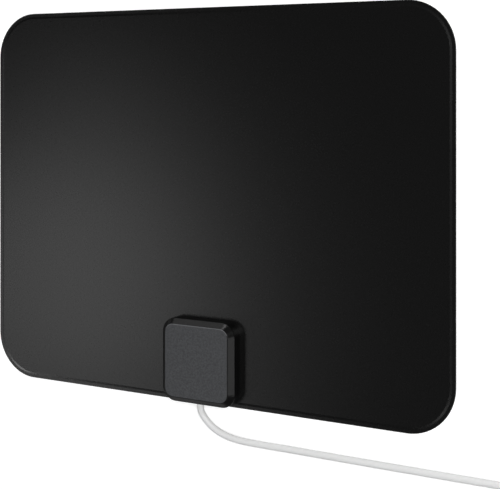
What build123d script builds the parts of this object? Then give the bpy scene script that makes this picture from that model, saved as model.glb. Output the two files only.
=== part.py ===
"""Flat indoor TV antenna: a laminated sheet with a square housing on its lower edge and a coaxial lead.

The antenna lies on its back. X runs along its width, Y towards its top edge and Z out of its front.
The origin is on the floor under the middle of the sheet. All sizes are in millimetres.
"""
from build123d import *
import os
from math import atan, cos, degrees, hypot, pi, radians, sin, tan

os.makedirs("parts", exist_ok=True)

# Laminated sheet: two plastic films sealed together along a thin rim
sheet_width = 305.0
sheet_height = 229.5
sheet_corner_radius = 27.2
back_film_thickness = 0.35
front_film_thickness = 0.30
field_rise = 0.25
rim_width = 2.0
rim_slope_width = 1.3

# Foil radiators between the films: two mirrored loops, each with a tab down to its contact
foil_thickness = 0.10
foil_edge_margin = 12.0
foil_gap = 10.0
foil_loop_height = 150.0
foil_strip_width = 26.0
foil_corner_radius = 16.0
foil_window_radius = 6.0
foil_tab_margin = 2.0

# Housing on the lower edge of the sheet: a bevelled cover over a base that is bonded to the sheet
housing_width = 48.3
housing_height = 48.4
housing_corner_radius = 8.5
housing_edge_inset = 0.55
wall_rise = 5.8
bevel_width = 3.2
bevel_rise = 3.0
wall_thickness = 1.6
roof_thickness = 1.8
face_edge_radius = 0.9
shoulder_edge_radius = 0.5
cover_clearance = 0.15
rib_length = 9.0
rib_thickness = 1.2
rib_spacing = 20.0
rib_setback = 2.0
rib_gap = 0.1
pad_thickness = 0.4
pad_margin = 1.0
base_thickness = 1.0
upstand_thickness = 1.2
upstand_rise = 2.6
lug_width = 8.0
lug_reach = 0.5
lug_rise = 1.0
lug_lift = 0.9
lug_clearance = 0.1

# Lead and how it is held in the housing
cable_diameter = 4.0
cable_rest_gap = 0.1
cable_floor_gap = 0.05
outlet_clearance = 0.15
jacket_inside_length = 13.0
dielectric_diameter = 2.2
dielectric_length = 6.0
conductor_diameter = 0.7
conductor_on_board = 3.0
braid_diameter = 0.8
braid_bend_radius = 1.5
braid_straight = 2.0
braid_spread = 3.6
clamp_setback = 7.5
clamp_width = 5.0
clamp_wall = 0.95
clamp_ear_thickness = 1.2
clamp_screw_spacing = 10.8
clamp_boss_diameter = 4.6
clamp_lift = 0.15
clamp_clearance = 0.05

# Circuit board on two posts, with the balun that joins the lead to the foil
board_width = 36.0
board_height = 20.0
board_thickness = 1.0
board_corner_radius = 1.0
board_gap = 1.3
post_spacing = 29.0
post_setback = 3.5
post_diameter = 4.4
screw_shank_diameter = 1.8
screw_head_diameter = 3.6
screw_head_rise = 1.2
screw_clearance = 0.05
screw_tip_gap = 0.3
screw_head_radius = 0.5
contact_spacing = 22.0
contact_rise_offset = 3.0
contact_width = 4.0
contact_thickness = 0.25
contact_foot = 3.2
contact_knee = 0.6
contact_toe = 2.2
contact_tip = 3.2
contact_tip_lift = 0.7
contact_bend_radius = 0.4
contact_gap = 0.02
window_width = 6.0
window_length = 8.4
window_corner_radius = 1.0
core_width = 7.0
core_length = 6.0
core_rise = 3.4
core_hole_spacing = 3.5
core_hole_diameter = 1.7
core_offset = 2.0
winding_diameter = 0.5
winding_split = 0.38
winding_bend_radius = 0.45
winding_loop_reach = 0.55
winding_leg_reach = 1.25
capacitor_length = 2.0
capacitor_width = 1.25
capacitor_rise = 0.8
capacitor_spacing = 13.0
capacitor_drop = 4.5

# Route of the lead from the outlet along the floor to the coil, points chosen by hand
route_rest = [
    (0.0, -117.0, 4.4),
    (1.3, -120.4, 4.1),
    (4.1, -124.2, 3.4),
    (8.2, -127.9, 2.7),
    (14.3, -130.9, 2.25),
    (23.2, -132.7, 2.05),
    (36.0, -133.1, 2.05),
    (60.0, -133.1, 2.05),
    (109.0, -133.5, 2.05),
    (161.0, -133.7, 2.05),
    (217.0, -133.8, 2.05),
]

# Each arc of the route takes this share of the shorter run beside it
arc_share = 0.45

# Put-away length of the lead: a tied coil with the plug beside it
coil_columns = 4
coil_layers = 5
coil_inner_turn_radius = 17.0
coil_entry_reach = 11.0
coil_edge_radius = 1.6
tail_start = 11.0
tail_length = 30.0
tie_angle = 150.0
tie_width = 7.0
tie_thickness = 0.8
tie_corner_radius = 1.2
tie_end_length = 9.0

# F plug on the end of the lead
boot_length = 22.0
boot_taper_length = 12.0
boot_end_radius = 3.1
boot_radius = 6.0
boot_edge_radius = 0.5
boot_blend_radius = 6.0
boot_groove_count = 3
boot_groove_width = 1.2
boot_groove_pitch = 2.8
boot_groove_start = 2.4
boot_groove_floor = 2.6
boot_flute_count = 12
boot_flute_radius = 1.1
boot_flute_depth = 0.35
boot_flute_margin = 1.6
sleeve_radius = 3.25
sleeve_inside_boot = 7.0
sleeve_wall = 1.0
nut_gap = 0.4
nut_length = 9.6
nut_radius = 5.7
nut_back_wall = 1.4
nut_bore_radius = 4.7
nut_edge_chamfer = 0.5
nut_groove_count = 24
nut_groove_radius = 0.45
nut_groove_depth = 0.25
flange_radius = 4.5
flange_thickness = 1.2
running_clearance = 0.05
axial_clearance = 0.1
seat_clearance = 0.02
pin_radius = 0.5
pin_reach = 2.4
pin_tip_chamfer = 0.3
insulator_depth = 6.0

# Levels and places that follow from the sizes above
rim_top = back_film_thickness + front_film_thickness
field_top = rim_top + field_rise
foil_top = back_film_thickness + foil_thickness
field_taper = degrees(atan(rim_slope_width / field_rise))
shoulder_z = field_top + wall_rise
face_z = shoulder_z + bevel_rise
roof_z = face_z - roof_thickness
housing_bottom_y = housing_edge_inset - sheet_height / 2
housing_y = housing_bottom_y + housing_height / 2
pad_top = field_top + pad_thickness
base_top = pad_top + base_thickness
base_inset = wall_thickness + cover_clearance
base_bottom_y = housing_bottom_y + base_inset
upstand_inset = base_inset + upstand_thickness
cable_radius = cable_diameter / 2
cable_z = base_top + cable_rest_gap + cable_radius
board_top = cable_z - conductor_diameter / 2
board_bottom = board_top - board_thickness
board_top_y = housing_y + housing_height / 2 - upstand_inset - board_gap
board_y = board_top_y - board_height / 2
board_bottom_y = board_y - board_height / 2
post_y = board_bottom_y + post_setback
contact_y = board_y + contact_rise_offset
jacket_end_y = housing_bottom_y + jacket_inside_length
dielectric_end_y = jacket_end_y + dielectric_length
clamp_y = housing_bottom_y + clamp_setback
clamp_seat = cable_z + clamp_lift
clamp_bore_radius = cable_radius + clamp_clearance
outlet_width = cable_diameter + 2 * outlet_clearance
bevel_angle = degrees(atan(bevel_width / bevel_rise))
bevel_slope = bevel_rise / bevel_width
inner_shoulder_z = shoulder_z + bevel_slope * wall_thickness - wall_thickness * hypot(1, bevel_slope)
screw_tip_z = pad_top + screw_tip_gap
core_axis_z = board_top + core_rise / 2
core_front_y = board_y + core_offset - core_length / 2
core_back_y = core_front_y + core_length
coil_radial = coil_columns * cable_diameter
coil_rise = coil_layers * cable_diameter
coil_outer_turn_radius = coil_inner_turn_radius + coil_radial - cable_diameter
coil_mean_radius = (coil_inner_turn_radius + coil_outer_turn_radius) / 2
coil_x = route_rest[-1][0] + coil_entry_reach
coil_y = route_rest[-1][1] + coil_outer_turn_radius
coil_middle_z = cable_floor_gap + coil_rise / 2
coil_second_layer_z = cable_floor_gap + cable_diameter + cable_radius
tie_radial = Vector(cos(radians(tie_angle)), sin(radians(tie_angle)), 0)
tie_plane = Plane(
    origin=Vector(coil_x, coil_y, coil_middle_z) + tie_radial * coil_mean_radius,
    x_dir=tie_radial,
    z_dir=(-tie_radial.Y, tie_radial.X, 0),
)
tie_inner_width = coil_radial - 2 * tie_thickness
tie_inner_rise = coil_rise - 2 * tie_thickness
plug_x = coil_x + coil_outer_turn_radius
plug_origin = (plug_x, coil_y + tail_length, cable_floor_gap + boot_radius)
plug_plane = Plane(origin=plug_origin)
plug_axis = Axis(plug_origin, (0, 1, 0))
sleeve_start = boot_length - sleeve_inside_boot
nut_start = boot_length + nut_gap
nut_inner_face = nut_start + nut_back_wall
nut_end = nut_start + nut_length
flange_start = nut_inner_face + axial_clearance
flange_end = flange_start + flange_thickness
insulator_start = flange_end - insulator_depth


def plug_section(along):
    """Plane across the plug at a distance along its axis."""
    return Plane(origin=Vector(*plug_origin) + Vector(0, along, 0), x_dir=(1, 0, 0), z_dir=(0, 1, 0))


def save(part, name):
    """Label a finished piece and write it as one STEP file."""
    part.label = name
    export_step(part, f"parts/{name}.step")


def housing_outline(inset, mode=Mode.ADD):
    """Rounded square of the housing, drawn in by an inset on every side."""
    with Locations((0, housing_y)):
        RectangleRounded(
            housing_width - 2 * inset,
            housing_height - 2 * inset,
            housing_corner_radius - inset,
            mode=mode,
        )


def contact_windows(mode=Mode.ADD):
    """Openings over the two foil pads."""
    for side in (-1, 1):
        with Locations((side * contact_spacing / 2, contact_y)):
            RectangleRounded(window_width, window_length, window_corner_radius, mode=mode)


def foil_outline(side):
    """One half of the foil pattern: a loop and the tab that leads to its contact."""
    loop_width = sheet_width / 2 - foil_edge_margin - foil_gap / 2
    loop_top = sheet_height / 2 - foil_edge_margin
    loop_bottom = loop_top - foil_loop_height
    tab_top = loop_bottom + foil_strip_width
    tab_bottom = contact_y - window_length / 2 - foil_tab_margin
    with Locations((side * (foil_gap + loop_width) / 2, (loop_top + loop_bottom) / 2)):
        RectangleRounded(loop_width, foil_loop_height, foil_corner_radius)
        RectangleRounded(
            loop_width - 2 * foil_strip_width,
            foil_loop_height - 2 * foil_strip_width,
            foil_window_radius,
            mode=Mode.SUBTRACT,
        )
    with Locations((side * contact_spacing / 2, (tab_top + tab_bottom) / 2)):
        Rectangle(window_width + 2 * foil_tab_margin, tab_top - tab_bottom)


def snap_lugs(reach, width):
    """Three strips that stand out of the base's upstand, one at each side and one at the top."""
    half_height = housing_height / 2 - base_inset + reach
    with Locations((0, housing_y)):
        Rectangle(housing_width - 2 * base_inset + 2 * reach, width)
    with Locations((0, housing_y + half_height / 2)):
        Rectangle(width, half_height)
    housing_outline(base_inset + upstand_thickness / 2, mode=Mode.SUBTRACT)


def pair_places(spacing, y):
    """The two places of a pair, one on each side of the middle."""
    return [(-spacing / 2, y), (spacing / 2, y)]


def corner_radii(points):
    """The largest radius that the two runs beside each corner of a route leave room for."""
    radii = []
    for before, here, after in zip(points, points[1:], points[2:]):
        run_in = Vector(*here) - Vector(*before)
        run_out = Vector(*after) - Vector(*here)
        half_turn = radians(run_in.get_angle(run_out)) / 2
        radii.append(arc_share * min(run_in.length, run_out.length) / tan(half_turn))
    return radii


# Back film, flat, the face that goes against a wall or window
with BuildPart() as back_film:
    with BuildSketch():
        RectangleRounded(sheet_width, sheet_height, sheet_corner_radius)
    extrude(amount=back_film_thickness)
save(back_film.part, "back_film")

# Foil radiators, die-cut and laid on the back film
for side, name in ((-1, "foil_radiator_left"), (1, "foil_radiator_right")):
    with BuildPart() as foil_radiator:
        with BuildSketch(Plane.XY.offset(back_film_thickness)):
            foil_outline(side)
        extrude(amount=foil_thickness)
    save(foil_radiator.part, name)

# Front film, pressed down to a thin sealed rim, with the foil bedded in its underside
with BuildPart() as front_film:
    with BuildSketch(Plane.XY.offset(back_film_thickness)):
        RectangleRounded(sheet_width, sheet_height, sheet_corner_radius)
    extrude(amount=front_film_thickness)
    with BuildSketch(Plane.XY.offset(rim_top)):
        RectangleRounded(
            sheet_width - 2 * rim_width,
            sheet_height - 2 * rim_width,
            sheet_corner_radius - rim_width,
        )
    extrude(amount=field_rise, taper=field_taper)
    with BuildSketch(Plane.XY.offset(back_film_thickness)):
        foil_outline(-1)
        foil_outline(1)
    extrude(amount=foil_thickness, mode=Mode.SUBTRACT)
    with BuildSketch(Plane.XY.offset(back_film_thickness)):
        contact_windows()
    extrude(amount=field_top - back_film_thickness, mode=Mode.SUBTRACT)
save(front_film.part, "front_film")

# Adhesive pad between the sheet and the housing base
with BuildPart() as adhesive_pad:
    with BuildSketch(Plane.XY.offset(field_top)):
        housing_outline(base_inset + pad_margin)
        contact_windows(mode=Mode.SUBTRACT)
    extrude(amount=pad_thickness)
save(adhesive_pad.part, "adhesive_pad")

# Housing base: a tray with an upstand, snap lugs, board posts, clamp bosses and a tongue under the lead
with BuildPart() as housing_base:
    with BuildSketch(Plane.XY.offset(pad_top)):
        housing_outline(base_inset)
        with Locations((0, (housing_bottom_y + base_bottom_y) / 2)):
            Rectangle(outlet_width - 2 * lug_clearance, base_inset)
        contact_windows(mode=Mode.SUBTRACT)
    extrude(amount=base_thickness)
    with BuildSketch(Plane.XY.offset(base_top)):
        housing_outline(base_inset)
        housing_outline(upstand_inset, mode=Mode.SUBTRACT)
        with Locations((0, base_bottom_y)):
            Rectangle(outlet_width, 2 * housing_corner_radius, mode=Mode.SUBTRACT)
    extrude(amount=upstand_rise)
    with BuildSketch(Plane.XY.offset(base_top + lug_lift)):
        snap_lugs(lug_reach, lug_width)
    extrude(amount=lug_rise)
    with BuildSketch(Plane.XY.offset(base_top)):
        with Locations(*pair_places(post_spacing, post_y)):
            Circle(post_diameter / 2)
    extrude(amount=board_bottom - base_top)
    with BuildSketch(Plane.XY.offset(base_top)):
        with Locations(*pair_places(clamp_screw_spacing, clamp_y)):
            Circle(clamp_boss_diameter / 2)
    extrude(amount=clamp_seat - base_top)
    with BuildSketch(Plane.XY.offset(screw_tip_z - screw_clearance)):
        with Locations(*pair_places(post_spacing, post_y), *pair_places(clamp_screw_spacing, clamp_y)):
            Circle(screw_shank_diameter / 2 + screw_clearance)
    extrude(amount=face_z, mode=Mode.SUBTRACT)
save(housing_base.part, "housing_base")

# Housing cover: a moulded shell with a bevelled face, ribs that hold the board down on its posts,
# recesses for the lugs and a slot for the lead
with BuildPart() as housing_cover:
    with BuildSketch(Plane.XY.offset(field_top)):
        housing_outline(0)
    extrude(amount=wall_rise)
    extrude(housing_cover.faces().sort_by(Axis.Z)[-1], amount=bevel_rise, taper=bevel_angle)
    fillet(housing_cover.edges().group_by(Axis.Z)[-1], face_edge_radius)
    shoulder = housing_cover.edges().filter_by_position(Axis.Z, shoulder_z, shoulder_z)
    fillet(shoulder, shoulder_edge_radius)
    with BuildSketch(Plane.XY.offset(field_top)):
        housing_outline(wall_thickness)
    extrude(amount=inner_shoulder_z - field_top, mode=Mode.SUBTRACT)
    with BuildSketch(Plane.XY.offset(inner_shoulder_z)):
        housing_outline(wall_thickness)
    extrude(amount=roof_z - inner_shoulder_z, taper=bevel_angle, mode=Mode.SUBTRACT)
    with BuildSketch(Plane.XY.offset(board_top + rib_gap)):
        with Locations(*pair_places(rib_spacing, board_top_y - rib_setback)):
            Rectangle(rib_length, rib_thickness)
    extrude(amount=roof_z - board_top - rib_gap)
    with BuildSketch(Plane.XY.offset(base_top + lug_lift - lug_clearance)):
        snap_lugs(lug_reach + lug_clearance, lug_width + 2 * lug_clearance)
    extrude(amount=lug_rise + 2 * lug_clearance, mode=Mode.SUBTRACT)
    with BuildSketch(Plane.XZ.offset(-housing_bottom_y)):
        with Locations((0, cable_z)):
            Circle(outlet_width / 2)
        with Locations((0, (field_top + cable_z) / 2)):
            Rectangle(outlet_width, cable_z - field_top)
    extrude(amount=-wall_thickness - bevel_width, mode=Mode.SUBTRACT)
save(housing_cover.part, "housing_cover")

# Circuit board on the two posts
with BuildPart() as circuit_board:
    with BuildSketch(Plane.XY.offset(board_bottom)):
        with Locations((0, board_y)):
            RectangleRounded(board_width, board_height, board_corner_radius)
        with Locations(*pair_places(post_spacing, post_y)):
            Circle(screw_shank_diameter / 2 + screw_clearance, mode=Mode.SUBTRACT)
    extrude(amount=board_thickness)
save(circuit_board.part, "circuit_board")

# Pan-head screws, one pair for the board and one pair for the cable clamp
for name, spacing, y, seat in (
    ("board_screws", post_spacing, post_y, board_top),
    ("clamp_screws", clamp_screw_spacing, clamp_y, clamp_seat + clamp_ear_thickness),
):
    with BuildPart() as screws:
        with BuildSketch(Plane.XY.offset(seat)):
            with Locations(*pair_places(spacing, y)):
                Circle(screw_head_diameter / 2)
        extrude(amount=screw_head_rise)
        fillet(screws.edges().group_by(Axis.Z)[-1], screw_head_radius)
        with BuildSketch(Plane.XY.offset(screw_tip_z)):
            with Locations(*pair_places(spacing, y)):
                Circle(screw_shank_diameter / 2)
        extrude(amount=seat - screw_tip_z)
    save(screws.part, name)

# Contact springs, bent from strip, that press on the foil pads through the windows
for side, name in ((-1, "contact_spring_left"), (1, "contact_spring_right")):
    with BuildPart() as contact_spring:
        with BuildSketch(Plane.YZ.offset(side * contact_spacing / 2)):
            with BuildLine():
                FilletPolyline(
                    (contact_y + contact_foot, board_bottom),
                    (contact_y + contact_knee, board_bottom),
                    (contact_y - contact_toe, foil_top + contact_thickness + contact_gap),
                    (contact_y - contact_tip, foil_top + contact_thickness + contact_tip_lift),
                    radius=contact_bend_radius,
                )
                offset(amount=contact_thickness, side=Side.LEFT)
            make_face()
        extrude(amount=contact_width / 2, both=True)
    save(contact_spring.part, name)

# Balun core: a two-hole ferrite block that lies on the board
with BuildPart() as balun_core:
    with BuildSketch(Plane.XZ.offset(-core_front_y)):
        with Locations((0, core_axis_z)):
            SlotOverall(core_width, core_rise)
            with GridLocations(core_hole_spacing, 0, 2, 1):
                Circle(core_hole_diameter / 2, mode=Mode.SUBTRACT)
    extrude(amount=-core_length)
save(balun_core.part, "balun_core")

# Balun windings: each wire goes through one hole and back through the other, down to the board
for name, turn_y, leg_y, level in (
    ("balun_primary", core_back_y + winding_loop_reach, core_front_y - winding_leg_reach, winding_split),
    ("balun_secondary", core_front_y - winding_loop_reach, core_back_y + winding_leg_reach, -winding_split),
):
    half = core_hole_spacing / 2
    wire_z = core_axis_z + level
    with BuildPart() as winding:
        with BuildLine() as winding_path:
            FilletPolyline(
                (-half, leg_y, board_top),
                (-half, leg_y, wire_z),
                (-half, turn_y, wire_z),
                (half, turn_y, wire_z),
                (half, leg_y, wire_z),
                (half, leg_y, board_top),
                radius=winding_bend_radius,
            )
        with BuildSketch(Plane.XY.offset(board_top)):
            with Locations((-half, leg_y)):
                Circle(winding_diameter / 2)
        sweep()
    save(winding.part, name)

# Chip capacitors on the board
with BuildPart() as chip_capacitors:
    with BuildSketch(Plane.XY.offset(board_top)):
        with Locations(*pair_places(capacitor_spacing, board_y - capacitor_drop)):
            Rectangle(capacitor_length, capacitor_width)
    extrude(amount=capacitor_rise)
save(chip_capacitors.part, "chip_capacitors")

# Stripped end of the lead inside the housing: jacket, dielectric, centre conductor and braid
for name, start_y, end_y, diameter in (
    ("cable_jacket_end", housing_bottom_y, jacket_end_y, cable_diameter),
    ("cable_dielectric", jacket_end_y, dielectric_end_y, dielectric_diameter),
    ("centre_conductor", dielectric_end_y, board_bottom_y + conductor_on_board, conductor_diameter),
):
    with BuildPart() as cable_layer:
        with BuildSketch(Plane.XZ.offset(-start_y)):
            with Locations((0, cable_z)):
                Circle(diameter / 2)
        extrude(amount=start_y - end_y)
    save(cable_layer.part, name)

with BuildPart() as braid_pigtail:
    braid_x = (dielectric_diameter + cable_diameter) / 4
    braid_end_z = board_top + braid_diameter / 2
    with BuildLine():
        FilletPolyline(
            (braid_x, jacket_end_y, cable_z),
            (braid_x, jacket_end_y + braid_straight, cable_z),
            (braid_x + braid_spread, board_bottom_y, braid_end_z),
            (braid_x + braid_spread, board_bottom_y + conductor_on_board, braid_end_z),
            radius=braid_bend_radius,
        )
    with BuildSketch(Plane.XZ.offset(-jacket_end_y)):
        with Locations((braid_x, cable_z)):
            Circle(braid_diameter / 2)
    sweep()
save(braid_pigtail.part, "braid_pigtail")

# Cable clamp: an arched saddle screwed down on the two bosses
with BuildPart() as cable_clamp:
    with BuildSketch(Plane.XZ.offset(clamp_width / 2 - clamp_y)):
        with Locations((0, cable_z)):
            Circle(clamp_bore_radius + clamp_wall)
        with Locations((0, clamp_seat + clamp_ear_thickness / 2)):
            Rectangle(clamp_screw_spacing + clamp_boss_diameter, clamp_ear_thickness)
        with Locations((0, clamp_seat - cable_diameter)):
            Rectangle(2 * clamp_screw_spacing, 2 * cable_diameter, mode=Mode.SUBTRACT)
        with Locations((0, cable_z)):
            Circle(clamp_bore_radius, mode=Mode.SUBTRACT)
    extrude(amount=-clamp_width)
    with BuildSketch(Plane.XY.offset(clamp_seat)):
        with Locations(*pair_places(clamp_screw_spacing, clamp_y)):
            Circle(screw_shank_diameter / 2 + screw_clearance)
    extrude(amount=clamp_ear_thickness, mode=Mode.SUBTRACT)
save(cable_clamp.part, "cable_clamp")

# Lead: a tube from the outlet to the coil, straight runs joined by tangent arcs
route = [(0, housing_bottom_y, cable_z)] + route_rest
route_radii = corner_radii(route)
with BuildPart() as signal_cable:
    with BuildLine() as route_line:
        FilletPolyline(*route, radius=route_radii)
    with BuildSketch(Plane(origin=route[0], z_dir=Vector(*route[1]) - Vector(*route[0]))):
        Circle(cable_radius)
    sweep()
save(signal_cable.part, "signal_cable")
route_length = sum(edge.length for edge in route_line.edges())
print("lead radii", [round(radius, 1) for radius in route_radii])
print("lead length", round(route_length, 1))
print("lead volume over section times length", signal_cable.part.volume / (pi * cable_radius**2 * route_length))

# Coil: the outer shape of the put-away turns, nipped in where the tie goes round
with BuildPart() as cable_coil:
    with BuildSketch(Plane(origin=(coil_x, coil_y, coil_middle_z), x_dir=(1, 0, 0), z_dir=(0, -1, 0))):
        with Locations((coil_mean_radius, 0)):
            RectangleRounded(coil_radial, coil_rise, coil_edge_radius)
    revolve(axis=Axis((coil_x, coil_y, 0), (0, 0, 1)))
    with BuildSketch(tie_plane):
        Rectangle(coil_radial + cable_diameter, coil_rise + cable_diameter)
        RectangleRounded(tie_inner_width, tie_inner_rise, tie_corner_radius, mode=Mode.SUBTRACT)
    extrude(amount=tie_width / 2, both=True, mode=Mode.SUBTRACT)
save(cable_coil.part, "cable_coil")

# Tie: a strap round the bundle of turns, its free end laid down the outside
with BuildPart() as cable_tie:
    with BuildSketch(tie_plane):
        RectangleRounded(
            tie_inner_width + 2 * tie_thickness,
            tie_inner_rise + 2 * tie_thickness,
            tie_corner_radius + tie_thickness,
        )
        with Locations((tie_inner_width / 2 + tie_thickness, 0)):
            Rectangle(2 * tie_thickness, tie_end_length)
        RectangleRounded(tie_inner_width, tie_inner_rise, tie_corner_radius, mode=Mode.SUBTRACT)
    extrude(amount=tie_width / 2, both=True)
save(cable_tie.part, "cable_tie")

# Tail: the last stretch of the lead, from the coil to the plug
tail_from = (plug_x, coil_y + tail_start, coil_second_layer_z)
with BuildPart() as cable_tail:
    with BuildLine():
        Line(tail_from, plug_origin)
    with BuildSketch(Plane(origin=tail_from, z_dir=Vector(*plug_origin) - Vector(*tail_from))):
        Circle(cable_radius)
    sweep()
save(cable_tail.part, "cable_tail")

# Plug boot: moulded round the lead, tapered and grooved so that it bends, with flutes for the fingers
with BuildPart() as plug_boot:
    with BuildSketch(plug_plane):
        with BuildLine():
            Polyline(
                (0, 0),
                (boot_end_radius, 0),
                (boot_radius, boot_taper_length),
                (boot_radius, boot_length),
                (sleeve_radius + seat_clearance, boot_length),
                (sleeve_radius + seat_clearance, sleeve_start),
                (0, sleeve_start),
                close=True,
            )
        make_face()
        for groove in range(boot_groove_count):
            with Locations((boot_groove_floor, boot_groove_start + groove * boot_groove_pitch)):
                Rectangle(boot_radius, boot_groove_width, align=(Align.MIN, Align.MIN), mode=Mode.SUBTRACT)
    revolve(axis=plug_axis)
    boot_rims = plug_boot.edges().filter_by(GeomType.CIRCLE)
    taper_end_y = plug_origin[1] + boot_taper_length
    fillet(boot_rims.filter_by_position(Axis.Y, taper_end_y, taper_end_y), boot_blend_radius)
    boot_rims = plug_boot.edges().filter_by(GeomType.CIRCLE).group_by(Axis.Y)
    fillet([*boot_rims[0], boot_rims[-1].sort_by(SortBy.RADIUS)[-1]], boot_edge_radius)
    with BuildSketch(plug_section(boot_taper_length + boot_flute_margin)):
        with PolarLocations(boot_radius + boot_flute_radius - boot_flute_depth, boot_flute_count):
            Circle(boot_flute_radius)
    extrude(amount=boot_length - boot_taper_length - 2 * boot_flute_margin, mode=Mode.SUBTRACT)
save(plug_boot.part, "plug_boot")

# Plug sleeve: the turned body in the boot, with the flange that keeps the nut on
with BuildPart() as plug_sleeve:
    with BuildSketch(plug_plane):
        with BuildLine():
            Polyline(
                (0, sleeve_start),
                (sleeve_radius, sleeve_start),
                (sleeve_radius, flange_start),
                (flange_radius, flange_start),
                (flange_radius, flange_end),
                (sleeve_radius - sleeve_wall, flange_end),
                (sleeve_radius - sleeve_wall, insulator_start),
                (0, insulator_start),
                close=True,
            )
        make_face()
    revolve(axis=plug_axis)
save(plug_sleeve.part, "plug_sleeve")

# Coupling nut: turns freely on the sleeve and screws onto the socket of the receiver
with BuildPart() as coupling_nut:
    with BuildSketch(plug_plane):
        with BuildLine():
            Polyline(
                (sleeve_radius + running_clearance, nut_start),
                (nut_radius - nut_edge_chamfer, nut_start),
                (nut_radius, nut_start + nut_edge_chamfer),
                (nut_radius, nut_end - nut_edge_chamfer),
                (nut_radius - nut_edge_chamfer, nut_end),
                (nut_bore_radius, nut_end),
                (nut_bore_radius, nut_inner_face),
                (sleeve_radius + running_clearance, nut_inner_face),
                close=True,
            )
        make_face()
    revolve(axis=plug_axis)
    with BuildSketch(plug_section(nut_start)):
        with PolarLocations(nut_radius + nut_groove_radius - nut_groove_depth, nut_groove_count):
            Circle(nut_groove_radius)
    extrude(amount=nut_length, mode=Mode.SUBTRACT)
save(coupling_nut.part, "coupling_nut")

# Plug insulator and the centre pin that it holds
with BuildPart() as plug_insulator:
    with BuildSketch(plug_section(insulator_start)):
        Circle(sleeve_radius - sleeve_wall - seat_clearance)
        Circle(pin_radius + seat_clearance, mode=Mode.SUBTRACT)
    extrude(amount=insulator_depth)
save(plug_insulator.part, "plug_insulator")

with BuildPart() as centre_pin:
    with BuildSketch(plug_section(insulator_start)):
        Circle(pin_radius)
    extrude(amount=nut_end + pin_reach - insulator_start)
    chamfer(centre_pin.edges().group_by(Axis.Y)[-1], pin_tip_chamfer)
save(centre_pin.part, "centre_pin")
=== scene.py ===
from math import cos, pi, radians, sin
import bpy
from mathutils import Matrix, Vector


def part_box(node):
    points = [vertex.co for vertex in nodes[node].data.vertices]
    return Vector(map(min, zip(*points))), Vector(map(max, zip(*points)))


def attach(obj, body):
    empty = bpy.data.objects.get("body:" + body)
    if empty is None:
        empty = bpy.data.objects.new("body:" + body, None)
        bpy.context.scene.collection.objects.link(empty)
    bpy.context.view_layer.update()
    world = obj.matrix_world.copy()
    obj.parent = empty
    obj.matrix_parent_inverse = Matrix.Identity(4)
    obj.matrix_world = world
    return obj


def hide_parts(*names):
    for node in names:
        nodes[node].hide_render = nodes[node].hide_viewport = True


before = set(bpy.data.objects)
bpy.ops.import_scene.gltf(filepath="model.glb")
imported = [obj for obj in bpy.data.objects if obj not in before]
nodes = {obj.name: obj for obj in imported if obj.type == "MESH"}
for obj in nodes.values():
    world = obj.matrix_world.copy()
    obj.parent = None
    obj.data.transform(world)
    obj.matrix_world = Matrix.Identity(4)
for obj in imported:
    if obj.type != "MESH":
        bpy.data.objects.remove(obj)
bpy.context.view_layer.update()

# Laminated sheet: two black vinyl films, calendered to a satin skin, laid over the foil and heat-sealed
# along a thin pressed rim. The back one is flat, and goes against a wall or a window.
film_black = "#0e0e0e"
film_ior = 1.54
film_roughness = 0.27
film_unevenness = 0.015
film_grain_mm = 1.1
film_swell_mm = 85.0


def hex_linear(code):
    """sRGB hex colour as linear red, green, blue and alpha."""
    shares = [int(code[place:place + 2], 16) / 255 for place in (1, 3, 5)]
    linear = [share / 12.92 if share <= 0.04045 else ((share + 0.055) / 1.055) ** 2.4 for share in shares]
    return linear + [1]


def add_node(owner, kind, inputs=None, **settings):
    """Add a node to a material or world, with its settings, socket values and links."""
    node = owner.node_tree.nodes.new(kind)
    for field, value in settings.items():
        setattr(node, field, value)
    for socket, value in (inputs or {}).items():
        if isinstance(value, bpy.types.NodeSocket):
            owner.node_tree.links.new(value, node.inputs[socket])
        else:
            node.inputs[socket].default_value = value
    return node


def new_material(name):
    """Material with no node but the one that gives a point's place on the object, in metres."""
    material = bpy.data.materials.new(name)
    material.use_nodes = True
    material.node_tree.nodes.clear()
    return material, add_node(material, "ShaderNodeTexCoord").outputs["Object"]


def dress(material, surface, *pieces):
    """Close a material with its surface shader, and give it to pieces in place of their own."""
    add_node(material, "ShaderNodeOutputMaterial", {"Surface": surface.outputs[0]})
    for piece in pieces:
        piece.data.materials.clear()
        piece.data.materials.append(material)


# Calendered vinyl is a deep black with a wide, soft sheen that is never quite even. Its grain is finer
# on the real film, and is drawn coarser here so that it shows.
film, place = new_material("calendered_vinyl_film")
grain = add_node(film, "ShaderNodeTexNoise", {
    "Vector": place, "Scale": 1000 / film_grain_mm, "Detail": 2.0,
})
swell = add_node(film, "ShaderNodeTexNoise", {
    "Vector": place, "Scale": 1000 / film_swell_mm, "Detail": 1.0,
})
skin = add_node(film, "ShaderNodeBump", {
    "Height": grain.outputs["Fac"], "Strength": 0.012, "Distance": 0.0001,
})
wave = add_node(film, "ShaderNodeBump", {
    "Height": swell.outputs["Fac"], "Strength": 0.1, "Distance": 0.0004, "Normal": skin.outputs["Normal"],
})
gloss = add_node(film, "ShaderNodeMapRange", {
    "Value": grain.outputs["Fac"],
    "To Min": film_roughness - film_unevenness, "To Max": film_roughness + film_unevenness,
})
surface = add_node(film, "ShaderNodeBsdfPrincipled", {
    "Base Color": hex_linear(film_black), "IOR": film_ior,
    "Roughness": gloss.outputs["Result"], "Normal": wave.outputs["Normal"],
})
dress(film, surface, nodes["back_film"], nodes["front_film"])

# Foil radiators: two mirrored loops, die-cut from thin aluminium and bedded between the films. A tab
# runs down from each loop to its contact in the housing.
foil_grey = "#d3d5d8"
rolling_line_mm = 0.5
rolling_run_mm = 40.0

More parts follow.
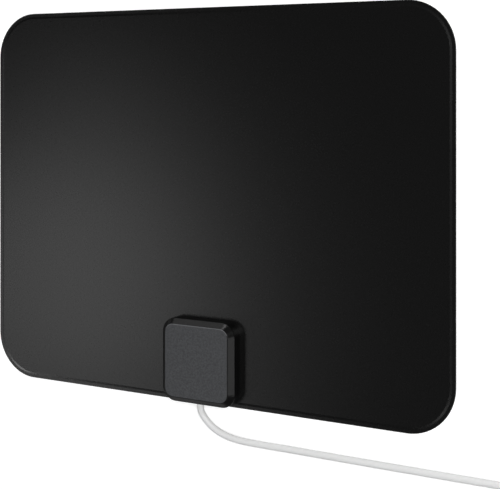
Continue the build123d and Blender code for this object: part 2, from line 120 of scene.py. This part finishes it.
# Rolled aluminium is bright, with fine lines along the way that it went through the rolls.
foil, place = new_material("rolled_aluminium")
rolled = add_node(foil, "ShaderNodeMapping", {
    "Vector": place, "Scale": (1000 / rolling_run_mm, 1000 / rolling_line_mm, 1000 / rolling_line_mm),
})
lines = add_node(foil, "ShaderNodeTexNoise", {
    "Vector": rolled.outputs["Vector"], "Scale": 1.0, "Detail": 2.0,
})
gloss = add_node(foil, "ShaderNodeMapRange", {
    "Value": lines.outputs["Fac"], "To Min": 0.2, "To Max": 0.42,
})
skin = add_node(foil, "ShaderNodeBump", {
    "Height": lines.outputs["Fac"], "Strength": 0.1, "Distance": 0.00005,
})
surface = add_node(foil, "ShaderNodeBsdfPrincipled", {
    "Base Color": hex_linear(foil_grey), "Metallic": 1.0,
    "Roughness": gloss.outputs["Result"], "Normal": skin.outputs["Normal"],
})
dress(foil, surface, nodes["foil_radiator_left"], nodes["foil_radiator_right"])

# Adhesive pad: double-sided acrylic foam tape, die-cut to the housing, that bonds its base to the sheet.
# It has a window over each contact.
pad_white = "#d9d6cc"
painted_pit_shade = "#b9b5a8"
foam_cell_mm = 0.35

# Foam tape is a dull off-white, pitted by small closed cells, with painted shade darkening the bottom of
# each pit.
foam, place = new_material("acrylic_foam_tape")
cells = add_node(foam, "ShaderNodeTexVoronoi", {"Vector": place, "Scale": 1000 / foam_cell_mm})
# Painted shade: the colour goes darker towards the bottom of each cell pit.
tint = add_node(foam, "ShaderNodeMix", {
    "Factor": cells.outputs["Distance"], "A": hex_linear(painted_pit_shade), "B": hex_linear(pad_white),
}, data_type="RGBA")
skin = add_node(foam, "ShaderNodeBump", {
    "Height": cells.outputs["Distance"], "Strength": 0.4, "Distance": 0.0001,
})
surface = add_node(foam, "ShaderNodeBsdfPrincipled", {
    "Base Color": tint.outputs["Result"], "IOR": 1.48, "Roughness": 0.75, "Normal": skin.outputs["Normal"],
})
dress(foam, surface, nodes["adhesive_pad"])

# Housing base: a tray moulded in black ABS, with an upstand and lugs that the cover snaps over, posts
# for the board and bosses for the cable clamp. It is stuck down on the pad.
base_black = "#151516"
flow_mark_mm = 4.0

# Plain moulded ABS is a dull black, a little uneven in gloss where the melt ran into the mould.
tray, place = new_material("black_abs")
flow = add_node(tray, "ShaderNodeTexNoise", {
    "Vector": place, "Scale": 1000 / flow_mark_mm, "Detail": 3.0,
})
gloss = add_node(tray, "ShaderNodeMapRange", {"Value": flow.outputs["Fac"], "To Min": 0.4, "To Max": 0.6})
surface = add_node(tray, "ShaderNodeBsdfPrincipled", {
    "Base Color": hex_linear(base_black), "IOR": 1.53, "Roughness": gloss.outputs["Result"],
})
dress(tray, surface, nodes["housing_base"])

# Circuit board: glass-epoxy laminate, routed to a rectangle and held on the two posts by its screws.
# Green solder mask covers its faces, and the routed edge shows the bare laminate.
mask_green = "#155a32"
laminate_tan = "#b7a36d"
glass_thread_mm = 0.8
face_slope = 0.5
wave_turn = 2 * pi / 20

# Solder mask is a glossy green, with the weave of the glass just showing through it. Blender's wave
# texture makes one band in every 2 pi / 20 of its own units, so a scale is worked out from that.
laminate, place = new_material("glass_epoxy_laminate")
warp = add_node(laminate, "ShaderNodeTexWave", {
    "Vector": place, "Scale": 1000 * wave_turn / glass_thread_mm}, bands_direction="X")
weft = add_node(laminate, "ShaderNodeTexWave", {
    "Vector": place, "Scale": 1000 * wave_turn / glass_thread_mm}, bands_direction="Y")
weave = add_node(laminate, "ShaderNodeMath", {
    0: warp.outputs["Fac"], 1: weft.outputs["Fac"]}, operation="MULTIPLY")
facing = add_node(laminate, "ShaderNodeSeparateXYZ", {
    "Vector": add_node(laminate, "ShaderNodeNewGeometry").outputs["True Normal"],
})
upright = add_node(laminate, "ShaderNodeMath", {0: facing.outputs["Z"]}, operation="ABSOLUTE")
masked = add_node(laminate, "ShaderNodeMath", {
    0: upright.outputs[0], 1: face_slope,
}, operation="GREATER_THAN")
tint = add_node(laminate, "ShaderNodeMix", {
    "Factor": masked.outputs[0], "A": hex_linear(laminate_tan), "B": hex_linear(mask_green),
}, data_type="RGBA")
skin = add_node(laminate, "ShaderNodeBump", {
    "Height": weave.outputs[0], "Strength": 0.15, "Distance": 0.0001,
})
surface = add_node(laminate, "ShaderNodeBsdfPrincipled", {
    "Base Color": tint.outputs["Result"], "IOR": 1.55, "Roughness": 0.3, "Normal": skin.outputs["Normal"],
})
dress(laminate, surface, nodes["circuit_board"])

# Screws: two small pan-head screws hold the board on its posts, and two hold the cable clamp. They are
# cold-headed steel with a zinc plating.
zinc_grey = "#b9bec4"
plating_mark_mm = 0.6

# Zinc plating is a cool, slightly cloudy grey.
zinc, place = new_material("zinc_plated_steel")
cloud = add_node(zinc, "ShaderNodeTexNoise", {
    "Vector": place, "Scale": 1000 / plating_mark_mm, "Detail": 2.0,
})
gloss = add_node(zinc, "ShaderNodeMapRange", {
    "Value": cloud.outputs["Fac"], "To Min": 0.22, "To Max": 0.45,
})
surface = add_node(zinc, "ShaderNodeBsdfPrincipled", {
    "Base Color": hex_linear(zinc_grey), "Metallic": 1.0, "Roughness": gloss.outputs["Result"],
})
dress(zinc, surface, nodes["board_screws"], nodes["clamp_screws"])

# Contact springs: strips of phosphor bronze, stamped and bent, soldered under the board. Their toes
# press on the foil through the windows in the front film.
bronze_tan = "#c58f5c"
stamping_line_mm = 0.3

# Phosphor bronze is a warm metal with the fine lines of the rolled strip.
bronze, place = new_material("phosphor_bronze")
rolled = add_node(bronze, "ShaderNodeMapping", {
    "Vector": place, "Scale": (1000 / stamping_line_mm, 1000 / rolling_run_mm, 1000 / rolling_run_mm),
})
lines = add_node(bronze, "ShaderNodeTexNoise", {
    "Vector": rolled.outputs["Vector"], "Scale": 1.0, "Detail": 2.0,
})
gloss = add_node(bronze, "ShaderNodeMapRange", {
    "Value": lines.outputs["Fac"], "To Min": 0.22, "To Max": 0.4,
})
surface = add_node(bronze, "ShaderNodeBsdfPrincipled", {
    "Base Color": hex_linear(bronze_tan), "Metallic": 1.0, "Roughness": gloss.outputs["Result"],
})
dress(bronze, surface, nodes["contact_spring_left"], nodes["contact_spring_right"])

# Balun core: a small two-hole block of ferrite, pressed from powder and fired. It lies on the board and
# is held there by the wires through it.
ferrite_dark = "#2a2a2d"
ferrite_light = "#3d3d40"
ferrite_grain_mm = 0.2

# Fired ferrite is a dull, dark grey with a sandy grain.
ferrite, place = new_material("fired_ferrite")
grain = add_node(ferrite, "ShaderNodeTexNoise", {
    "Vector": place, "Scale": 1000 / ferrite_grain_mm, "Detail": 3.0,
})
tint = add_node(ferrite, "ShaderNodeMix", {
    "Factor": grain.outputs["Fac"], "A": hex_linear(ferrite_dark), "B": hex_linear(ferrite_light),
}, data_type="RGBA")
skin = add_node(ferrite, "ShaderNodeBump", {
    "Height": grain.outputs["Fac"], "Strength": 0.3, "Distance": 0.0001,
})
surface = add_node(ferrite, "ShaderNodeBsdfPrincipled", {
    "Base Color": tint.outputs["Result"], "IOR": 1.8, "Roughness": 0.65, "Normal": skin.outputs["Normal"],
})
dress(ferrite, surface, nodes["balun_core"])

# Balun windings: a primary and a secondary of enamelled copper wire, threaded through the core and
# soldered to the board at their ends. The centre conductor of the lead is bare wire of the same metal.
copper_red = "#b8643a"
wire_mark_mm = 0.8

# Drawn copper is a soft red metal, brighter and duller in turn along the wire.
copper, place = new_material("drawn_copper")
marks = add_node(copper, "ShaderNodeTexNoise", {
    "Vector": place, "Scale": 1000 / wire_mark_mm, "Detail": 2.0,
})
gloss = add_node(copper, "ShaderNodeMapRange", {
    "Value": marks.outputs["Fac"], "To Min": 0.18, "To Max": 0.38,
})
surface = add_node(copper, "ShaderNodeBsdfPrincipled", {
    "Base Color": hex_linear(copper_red), "Metallic": 1.0, "Roughness": gloss.outputs["Result"],
})
dress(copper, surface, nodes["balun_primary"], nodes["balun_secondary"], nodes["centre_conductor"])

# Chip capacitors: two fired ceramic blocks on the board, each with a cap of tin at both ends that is
# soldered down.
chip_tan = "#a98c68"
tin_grey = "#c9cbcd"
cap_share = 0.6
chip_length = 0.002
chip_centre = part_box("chip_capacitors")[1].x - chip_length / 2

# The ceramic is a dull tan and the tin a soft bright grey.
chip, place = new_material("fired_ceramic_and_tin")
speckle = add_node(chip, "ShaderNodeTexNoise", {
    "Vector": place, "Scale": 1000 / ferrite_grain_mm, "Detail": 2.0,
})
across = add_node(chip, "ShaderNodeSeparateXYZ", {"Vector": place})
side = add_node(chip, "ShaderNodeMath", {0: across.outputs["X"]}, operation="ABSOLUTE")
apart = add_node(chip, "ShaderNodeMath", {0: side.outputs[0], 1: chip_centre}, operation="SUBTRACT")
reach = add_node(chip, "ShaderNodeMath", {0: apart.outputs[0]}, operation="ABSOLUTE")
capped = add_node(chip, "ShaderNodeMath", {
    0: reach.outputs[0], 1: cap_share * chip_length / 2}, operation="GREATER_THAN")
tint = add_node(chip, "ShaderNodeMix", {
    "Factor": capped.outputs[0], "A": hex_linear(chip_tan), "B": hex_linear(tin_grey),
}, data_type="RGBA")
gloss = add_node(chip, "ShaderNodeMapRange", {
    "Value": speckle.outputs["Fac"], "To Min": 0.35, "To Max": 0.55,
})
surface = add_node(chip, "ShaderNodeBsdfPrincipled", {
    "Base Color": tint.outputs["Result"], "Metallic": capped.outputs[0],
    "Roughness": gloss.outputs["Result"],
})
dress(chip, surface, nodes["chip_capacitors"])

# Stripped end of the lead: the polyethylene core comes out of the jacket, and the braid is drawn aside
# into a pigtail. Core and braid are soldered to the board.
core_white = "#e6e4dc"
braid_grey = "#b5aaa0"
strand_mm = 0.25
core_cloud_mm = 3.0

# Natural polyethylene is a milky white that lets some light in. It is also in the plug, round its pin.
polyethylene, place = new_material("natural_polyethylene")
cloud = add_node(polyethylene, "ShaderNodeTexNoise", {
    "Vector": place, "Scale": 1000 / core_cloud_mm, "Detail": 2.0,
})
gloss = add_node(polyethylene, "ShaderNodeMapRange", {
    "Value": cloud.outputs["Fac"], "To Min": 0.35, "To Max": 0.5,
})
surface = add_node(polyethylene, "ShaderNodeBsdfPrincipled", {
    "Base Color": hex_linear(core_white), "IOR": 1.51, "Roughness": gloss.outputs["Result"],
    "Subsurface Weight": 0.25, "Subsurface Radius": (0.0012, 0.001, 0.0008), "Subsurface Scale": 1.0,
})
dress(polyethylene, surface, nodes["cable_dielectric"], nodes["plug_insulator"])

# Tinned copper braid, twisted into a tail, shows its strands as fine ridges along the way it lies.
braid, place = new_material("tinned_copper_braid")
strands = add_node(braid, "ShaderNodeTexWave", {
    "Vector": place, "Scale": 1000 * wave_turn / strand_mm, "Distortion": 1.0}, bands_direction="DIAGONAL")
skin = add_node(braid, "ShaderNodeBump", {
    "Height": strands.outputs["Fac"], "Strength": 0.5, "Distance": 0.0001,
})
surface = add_node(braid, "ShaderNodeBsdfPrincipled", {
    "Base Color": hex_linear(braid_grey), "Metallic": 1.0,
    "Roughness": 0.35, "Normal": skin.outputs["Normal"],
})
dress(braid, surface, nodes["braid_pigtail"])

# Cable clamp: an arched saddle moulded in black nylon, screwed down over the jacket on two bosses so
# that a pull on the lead doesn't reach the solder.
nylon_black = "#1b1b1b"
nylon_grain_mm = 0.8

# Moulded nylon is a waxy black with a faint grain.
nylon, place = new_material("black_nylon")
grain = add_node(nylon, "ShaderNodeTexNoise", {
    "Vector": place, "Scale": 1000 / nylon_grain_mm, "Detail": 2.0,
})
gloss = add_node(nylon, "ShaderNodeMapRange", {
    "Value": grain.outputs["Fac"], "To Min": 0.38, "To Max": 0.52,
})
surface = add_node(nylon, "ShaderNodeBsdfPrincipled", {
    "Base Color": hex_linear(nylon_black), "IOR": 1.53, "Roughness": gloss.outputs["Result"],
})
dress(nylon, surface, nodes["cable_clamp"])

# Housing cover: an ABS shell that snaps over the base. Its face is moulded against a spark-eroded
# surface, and the bevel and the walls round it are left smoother and darker; the walls carry painted shade.
cover_face = "#595a5c"
cover_face_low = "#323335"
painted_edge_highlight = "#6e6f72"
cover_bevel = "#141414"
painted_wall_shade = "#0a0a0a"
cover_grain_mm = 1.0
side_roughness = 0.2
glance_roughness = 0.85
face_roughness = 0.62

# Spark-eroded ABS is a charcoal matt with a fine mottle, drawn a little coarser here so that it shows.
# The fillet along the upper edge of the face has a painted highlight, a lighter grey. The smooth bevel and
# walls are near black, the walls darker still with painted shade, and mirror the lamps softly, but at a
# glancing angle their own faint grain breaks the mirror image up.
cover, place = new_material("grained_abs")
grain = add_node(cover, "ShaderNodeTexNoise", {
    "Vector": place, "Scale": 1000 / cover_grain_mm, "Detail": 4.0,
})
facing = add_node(cover, "ShaderNodeSeparateXYZ", {
    "Vector": add_node(cover, "ShaderNodeNewGeometry").outputs["Normal"],
})
slope = add_node(cover, "ShaderNodeMapRange", {
    "Value": facing.outputs["Z"], "From Min": 0.4, "From Max": 0.7,
})
rim = add_node(cover, "ShaderNodeMapRange", {
    "Value": facing.outputs["Z"], "From Min": 0.78, "From Max": 0.86,
})
upper = add_node(cover, "ShaderNodeMapRange", {
    "Value": facing.outputs["Y"], "From Min": 0.12, "From Max": 0.25,
})
flat = add_node(cover, "ShaderNodeMapRange", {
    "Value": facing.outputs["Z"], "From Min": 0.965, "From Max": 0.995,
})
mottle = add_node(cover, "ShaderNodeMix", {
    "Factor": grain.outputs["Fac"], "A": hex_linear(cover_face_low), "B": hex_linear(cover_face),
}, data_type="RGBA")
# Painted shade: the upright walls are given a darker black than the bevel, blending by slope.
side = add_node(cover, "ShaderNodeMix", {
    "Factor": slope.outputs["Result"], "A": hex_linear(painted_wall_shade), "B": hex_linear(cover_bevel),
}, data_type="RGBA")
# Painted highlight: the fillet between face and bevel, where it turns upwards, is given the lighter edge
# grey.
painted_highlight_mask = add_node(cover, "ShaderNodeMath", {
    0: rim.outputs["Result"], 1: upper.outputs["Result"],
}, operation="MULTIPLY")
side_and_painted_highlight = add_node(cover, "ShaderNodeMix", {
    "Factor": painted_highlight_mask.outputs[0], "A": side.outputs["Result"], "B": hex_linear(painted_edge_highlight),
}, data_type="RGBA")
tint = add_node(cover, "ShaderNodeMix", {
    "Factor": flat.outputs["Result"], "A": side_and_painted_highlight.outputs["Result"], "B": mottle.outputs["Result"],
}, data_type="RGBA")
glance = add_node(cover, "ShaderNodeMapRange", {
    "Value": add_node(cover, "ShaderNodeLayerWeight").outputs["Facing"], "From Min": 0.45, "From Max": 0.75,
    "To Min": side_roughness, "To Max": glance_roughness,
})
gloss = add_node(cover, "ShaderNodeMapRange", {
    "Value": flat.outputs["Result"], "To Min": glance.outputs["Result"], "To Max": face_roughness,
})
skin = add_node(cover, "ShaderNodeBump", {
    "Height": grain.outputs["Fac"], "Strength": 0.3, "Distance": 0.0002,
})
surface = add_node(cover, "ShaderNodeBsdfPrincipled", {
    "Base Color": tint.outputs["Result"], "IOR": 1.53, "Specular IOR Level": 0.1,
    "Roughness": gloss.outputs["Result"], "Normal": skin.outputs["Normal"],
})
dress(cover, surface, nodes["housing_cover"])

# Lead: slim coaxial cable in a smooth white vinyl jacket, about three metres of it. It leaves the
# housing at the lower edge, and the length that isn't needed is wound into a coil beside the sheet.
lead_white = "#eeeeee"
lead_diameter = 0.004
draw_mark_mm = 6.0
route_mm = [
    (0.0, -114.2, 4.4),
    (0.0, -117.0, 4.4),
    (1.3, -120.4, 4.1),
    (4.1, -124.2, 3.4),
    (8.2, -127.9, 2.7),
    (14.3, -130.9, 2.25),
    (23.2, -132.7, 2.05),
    (36.0, -133.1, 2.05),
    (60.0, -133.1, 2.05),
    (109.0, -133.5, 2.05),
    (161.0, -133.7, 2.05),
    (217.0, -133.8, 2.05),
]
coil_columns = 4
coil_layers = 5
points_per_turn = 24
entry_angle = -pi / 2
last_turn = 0.25
step_turns = 0.16
step_shift = 0.13
tie_angle = radians(150)
tie_reach = radians(26)
tie_squeeze = Vector((0.86, 0.9))
tail_reaches = (-0.018, -0.009, 0.001)
coil_low, coil_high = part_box("cable_coil")
coil_middle = (coil_low + coil_high) / 2
outer_turn = (coil_high.x - coil_low.x - lead_diameter) / 2
mean_turn = outer_turn - (coil_columns - 1) / 2 * lead_diameter


def link_piece(name, data):
    """Put a mesh, curve, lamp or camera into the scene as an object."""
    piece = bpy.data.objects.new(name, data)
    bpy.context.scene.collection.objects.link(piece)
    return piece


def winding_cells():
    """Column and layer of each turn: the bottom layer inwards, then each column up or down in turn."""
    cells = [(column, 0) for column in range(coil_columns)]
    for column in reversed(range(coil_columns)):
        layers = range(1, coil_layers)
        cells += [(column, layer) for layer in (layers if column % 2 else reversed(layers))]
    return cells


def eased(share):
    """Smooth step from 0 to 1."""
    share = min(max(share, 0), 1)
    return share * share * (3 - 2 * share)


def coil_points():
    """Centreline of the tied turns, from the lowest outer turn to the outer turn above it."""
    cells = winding_cells()
    # A step leads from one turn to the next, and comes a little earlier at each change of direction.
    steps = []
    start = 1.0 - step_turns
    for index, (here, there) in enumerate(zip(cells, cells[1:])):
        radial = here[1] == there[1]
        if index and radial != steps[-1][2]:
            start -= step_shift
        steps.append((index + start, (there[0] - here[0], there[1] - here[1]), radial))
    points = []
    for number in range(1, int((len(cells) - 1 + last_turn) * points_per_turn)):
        turns = number / points_per_turn
        column, layer = cells[0]
        for begin, change, _ in steps:
            share = eased((turns - begin) / step_turns)
            column += share * change[0]
            layer += share * change[1]
        angle = 2 * pi * turns + entry_angle
        off_tie = abs((angle - tie_angle + pi) % (2 * pi) - pi)
        hold = 1 - eased(off_tie / tie_reach)
        across = ((coil_columns - 1) / 2 - column) * lead_diameter * (1 - hold * (1 - tie_squeeze.x))
        height = (layer - (coil_layers - 1) / 2) * lead_diameter * (1 - hold * (1 - tie_squeeze.y))
        radius = (mean_turn + across) / cos(pi / points_per_turn)
        points.append(coil_middle + Vector((radius * cos(angle), radius * sin(angle), height)))
    return points


route = [Vector(point) / 1000 for point in route_mm]
boot_low, boot_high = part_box("plug_boot")
plug_axis = (boot_low + boot_high) / 2
boot_mouth = Vector((plug_axis.x, boot_low.y, plug_axis.z))
tail = [boot_mouth + Vector((0, reach, 0)) for reach in tail_reaches]
controls = route + coil_points() + tail
lead_curve = bpy.data.curves.new("coaxial_lead", "CURVE")
lead_curve.dimensions = "3D"
lead_curve.bevel_depth = lead_diameter / 2
lead_curve.bevel_resolution = 6
lead_curve.use_fill_caps = True
line = lead_curve.splines.new("NURBS")
line.points.add(len(controls) - 1)
for control, spot in zip(line.points, controls):
    control.co = (*spot, 1)
line.order_u = 3
line.use_endpoint_u = True
line.resolution_u = 5
line.use_smooth = True
lead = link_piece("coaxial_lead", lead_curve)

# Extruded vinyl is a clean white with a soft gloss, drawn out in faint long streaks.
jacket, place = new_material("extruded_white_vinyl")
draw = add_node(jacket, "ShaderNodeTexNoise", {
    "Vector": place, "Scale": 1000 / draw_mark_mm, "Detail": 2.0,
})
gloss = add_node(jacket, "ShaderNodeMapRange", {
    "Value": draw.outputs["Fac"], "To Min": 0.42, "To Max": 0.5,
})
surface = add_node(jacket, "ShaderNodeBsdfPrincipled", {
    "Base Color": hex_linear(lead_white), "IOR": 1.53, "Roughness": gloss.outputs["Result"],
})
dress(jacket, surface, lead, nodes["cable_jacket_end"])
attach(lead, "antenna")
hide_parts("signal_cable", "cable_coil", "cable_tail")

# Tie: a strap of woven nylon with a hook face, wrapped round the coil and pressed down on itself. It
# keeps the turns of the lead together.
strap_black = "#0f0f10"
strap_high = "#26262a"
strap_rib_mm = 1.1
strap_thread_mm = 0.6

# Woven nylon is a soft black with a rib at each pick of the weave, and little gloss.
strap, place = new_material("woven_nylon_strap")
turned = add_node(strap, "ShaderNodeMapping", {"Vector": place, "Rotation": (0, 0, -tie_angle)})
ribs = add_node(strap, "ShaderNodeTexWave", {
    "Vector": turned.outputs["Vector"], "Scale": 1000 * wave_turn / strap_rib_mm}, bands_direction="Z")
threads = add_node(strap, "ShaderNodeTexWave", {
    "Vector": turned.outputs["Vector"], "Scale": 1000 * wave_turn / strap_thread_mm}, bands_direction="Y")
weave = add_node(strap, "ShaderNodeMath", {
    0: ribs.outputs["Fac"], 1: threads.outputs["Fac"]}, operation="MULTIPLY")
tint = add_node(strap, "ShaderNodeMix", {
    "Factor": weave.outputs[0], "A": hex_linear(strap_black), "B": hex_linear(strap_high),
}, data_type="RGBA")
skin = add_node(strap, "ShaderNodeBump", {
    "Height": weave.outputs[0], "Strength": 0.6, "Distance": 0.0003,
})
surface = add_node(strap, "ShaderNodeBsdfPrincipled", {
    "Base Color": tint.outputs["Result"], "IOR": 1.53, "Roughness": 0.7, "Sheen Weight": 0.3,
    "Normal": skin.outputs["Normal"],
})
dress(strap, surface, nodes["cable_tie"])

# Plug boot: white vinyl, injected round the end of the lead, tapered and grooved so that it bends, with
# flutes for the fingers.
boot_white = "#e6e6e3"
boot_grain_mm = 0.6

# Moulded vinyl is duller than the extruded jacket, with a fine even grain.
boot, place = new_material("moulded_white_vinyl")
grain = add_node(boot, "ShaderNodeTexNoise", {
    "Vector": place, "Scale": 1000 / boot_grain_mm, "Detail": 2.0,
})
gloss = add_node(boot, "ShaderNodeMapRange", {
    "Value": grain.outputs["Fac"], "To Min": 0.48, "To Max": 0.6,
})
skin = add_node(boot, "ShaderNodeBump", {
    "Height": grain.outputs["Fac"], "Strength": 0.15, "Distance": 0.0001,
})
surface = add_node(boot, "ShaderNodeBsdfPrincipled", {
    "Base Color": hex_linear(boot_white), "IOR": 1.53,
    "Roughness": gloss.outputs["Result"], "Normal": skin.outputs["Normal"],
})
dress(boot, surface, nodes["plug_boot"])

# Plug sleeve and coupling nut: turned brass with a nickel plating. The boot holds the sleeve, and the
# knurled nut turns freely on the sleeve and screws onto the socket with the thread in its bore.
nickel_grey = "#c9c4ba"
turning_mark_mm = 0.25
thread_pitch = 0.000794
thread_root = 0.00472
thread_crest = 0.00433
crest_width = 0.0001
ridge_corners = 4
run_out_turns = 0.3
sections_per_turn = 40
thread_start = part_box("plug_sleeve")[1].y + thread_pitch
thread_turns = (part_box("coupling_nut")[1].y - thread_pitch - thread_start) / thread_pitch


def thread_mesh():
    """A ridge that winds along the bore and fades into it at both ends."""
    points = []
    section_count = int(thread_turns * sections_per_turn) + 1
    for number in range(section_count):
        turns = number / sections_per_turn
        height = eased(min(turns, thread_turns - turns) / run_out_turns)
        crest = thread_root + (thread_crest - thread_root) * height
        middle = thread_start + turns * thread_pitch
        angle = 2 * pi * turns
        for radius, along in (
            (thread_root, -thread_pitch / 2), (crest, -crest_width / 2),
            (crest, crest_width / 2), (thread_root, thread_pitch / 2),
        ):
            points.append((
                plug_axis.x + radius * cos(angle), middle + along, plug_axis.z + radius * sin(angle),
            ))
    last = len(points) - ridge_corners
    faces = [tuple(range(ridge_corners))]
    for first in range(0, last, ridge_corners):
        onward = first + ridge_corners
        for side in range(ridge_corners):
            following = (side + 1) % ridge_corners
            faces.append((first + following, first + side, onward + side, onward + following))
    faces.append(tuple(reversed(range(last, len(points)))))
    mesh = bpy.data.meshes.new("nut_thread")
    mesh.from_pydata(points, [], faces)
    return mesh


nut_thread = link_piece("nut_thread", thread_mesh())

# Nickel plate on turned brass is a bright, warm grey with fine rings left by the tool.
nickel, place = new_material("nickel_plated_brass")
turned = add_node(nickel, "ShaderNodeMapping", {
    "Vector": place, "Scale": (1000 / rolling_run_mm, 1000 / turning_mark_mm, 1000 / rolling_run_mm),
})
rings = add_node(nickel, "ShaderNodeTexNoise", {
    "Vector": turned.outputs["Vector"], "Scale": 1.0, "Detail": 2.0,
})
gloss = add_node(nickel, "ShaderNodeMapRange", {
    "Value": rings.outputs["Fac"], "To Min": 0.14, "To Max": 0.32,
})
skin = add_node(nickel, "ShaderNodeBump", {
    "Height": rings.outputs["Fac"], "Strength": 0.15, "Distance": 0.00005,
})
surface = add_node(nickel, "ShaderNodeBsdfPrincipled", {
    "Base Color": hex_linear(nickel_grey), "Metallic": 1.0,
    "Roughness": gloss.outputs["Result"], "Normal": skin.outputs["Normal"],
})
dress(nickel, surface, nodes["plug_sleeve"], nodes["coupling_nut"], nut_thread)
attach(nut_thread, "nut")

# Centre pin: a turned brass pin, held by the insulator in the sleeve, that goes into the socket. It is
# the last piece on the lead.
pin_yellow = "#c9a25c"

# Bright brass is a yellow metal with faint rings from the tool.
brass, place = new_material("turned_brass")
turned = add_node(brass, "ShaderNodeMapping", {
    "Vector": place, "Scale": (1000 / rolling_run_mm, 1000 / turning_mark_mm, 1000 / rolling_run_mm),
})
rings = add_node(brass, "ShaderNodeTexNoise", {
    "Vector": turned.outputs["Vector"], "Scale": 1.0, "Detail": 2.0,
})
gloss = add_node(brass, "ShaderNodeMapRange", {
    "Value": rings.outputs["Fac"], "To Min": 0.16, "To Max": 0.34,
})
surface = add_node(brass, "ShaderNodeBsdfPrincipled", {
    "Base Color": hex_linear(pin_yellow), "Metallic": 1.0, "Roughness": gloss.outputs["Result"],
})
dress(brass, surface, nodes["centre_pin"])

# Floor: a plain pale studio floor under the sheet, a hair lower than its back so that the two surfaces
# don't lie in one plane.
floor_white = "#d8d8d8"
floor_reach = 6.0
floor_drop = 0.0004
white_lift = 0.58

# White paper is matt. Where the camera sees it, or a glossy piece mirrors it, it is lifted to white, and
# it keeps the shadows.
floor_mesh = bpy.data.meshes.new("floor")
floor_mesh.from_pydata(
    [(side * floor_reach, depth * floor_reach, 0) for side, depth in ((-1, -1), (1, -1), (1, 1), (-1, 1))],
    [], [(0, 1, 2, 3)],
)
floor = link_piece("floor", floor_mesh)
floor.location.z = -floor_drop
paper, _ = new_material("white_paper")
path = add_node(paper, "ShaderNodeLightPath").outputs
seen = add_node(paper, "ShaderNodeMath", {
    0: path["Is Camera Ray"], 1: path["Is Glossy Ray"],
}, operation="ADD")
seen = add_node(paper, "ShaderNodeMath", {
    0: seen.outputs[0], 1: path["Is Transmission Ray"],
}, operation="ADD")
lift = add_node(paper, "ShaderNodeMath", {0: seen.outputs[0], 1: white_lift}, operation="MULTIPLY")
shade = add_node(paper, "ShaderNodeBsdfDiffuse", {"Color": hex_linear(floor_white)})
glow = add_node(paper, "ShaderNodeEmission", {"Strength": lift.outputs[0]})
surface = add_node(paper, "ShaderNodeAddShader", {0: shade.outputs[0], 1: glow.outputs[0]})
dress(paper, surface, floor)


# Light: a soft main lamp beside the camera and a card below that fills its shadows, a tall panel, a lamp
# and a low card on the left that the satin film shows as one broad glow, small lamps and cards for the rim
# of the sheet and the bevels of the housing, and a bright horizon under a dim ceiling.
def add_lamp(name, direction, distance, size, radiance):
    """Elliptical softbox that faces the sheet: its distance and size in metres, and how bright it looks."""
    lamp = bpy.data.lights.new(name, "AREA")
    lamp.shape = "ELLIPSE"
    lamp.size, lamp.size_y = size
    area = pi * size[0] * size[1] / 4
    lamp.energy = radiance * pi * area
    stand = link_piece(name, lamp)
    stand.location = Vector(direction).normalized() * distance
    stand.rotation_euler = Vector(direction).to_track_quat("Z", "Y").to_euler()


add_lamp("main_lamp", (0.50, 0.25, 0.83), 2.2, (1.0, 1.0), 10.8)
add_lamp("left_panel", (-0.57, -0.20, 0.80), 1.5, (1.05, 0.30), 0.70)
add_lamp("left_lamp", (-0.65, -0.185, 0.74), 1.5, (0.48, 0.40), 1.25)
add_lamp("left_card", (-0.90, -0.15, 0.42), 1.5, (1.0, 0.6), 0.45)
add_lamp("corner_lamp", (-0.74, -0.50, 0.47), 1.5, (0.40, 0.22), 5.5)
add_lamp("fill_card", (0.25, -0.62, 0.74), 2.0, (0.8, 0.8), 3.8)
add_lamp("right_card", (0.796, -0.228, 0.56), 1.5, (0.6, 0.6), 3.5)
add_lamp("top_card", (-0.47, 0.80, 0.36), 1.5, (0.6, 0.6), 2.6)
add_lamp("top_lamp", (-0.08, 0.92, 0.38), 1.5, (0.4, 0.4), 13.0)

world = bpy.data.worlds.new("studio")
bpy.context.scene.world = world
world.use_nodes = True
world.node_tree.nodes.clear()
way = add_node(world, "ShaderNodeSeparateXYZ", {
    "Vector": add_node(world, "ShaderNodeTexCoord").outputs["Generated"],
})
level = add_node(world, "ShaderNodeMapRange", {
    "Value": way.outputs["Z"], "From Min": 0.0, "From Max": 0.1, "To Min": 1.0, "To Max": 0.008,
}, interpolation_type="SMOOTHSTEP")
sky = add_node(world, "ShaderNodeBackground", {"Strength": level.outputs["Result"]})
add_node(world, "ShaderNodeOutputWorld", {"Surface": sky.outputs["Background"]})

# Camera: the photograph's own, level with the sheet's width and turned about its height. It is shifted,
# so that the sheet's two upright edges stay parallel as they are there.
camera = bpy.data.cameras.new("camera")
camera.sensor_width = 36.0
camera.lens = 84.92
camera.shift_x = 0.0007
camera.shift_y = -0.3133
viewer = link_piece("camera", camera)
viewer.location = (0.35377, 0.06807, 0.58727)
viewer.rotation_euler = (0, radians(28.859), 0)
bpy.context.scene.camera = viewer
bpy.context.scene.view_settings.view_transform = "Standard"
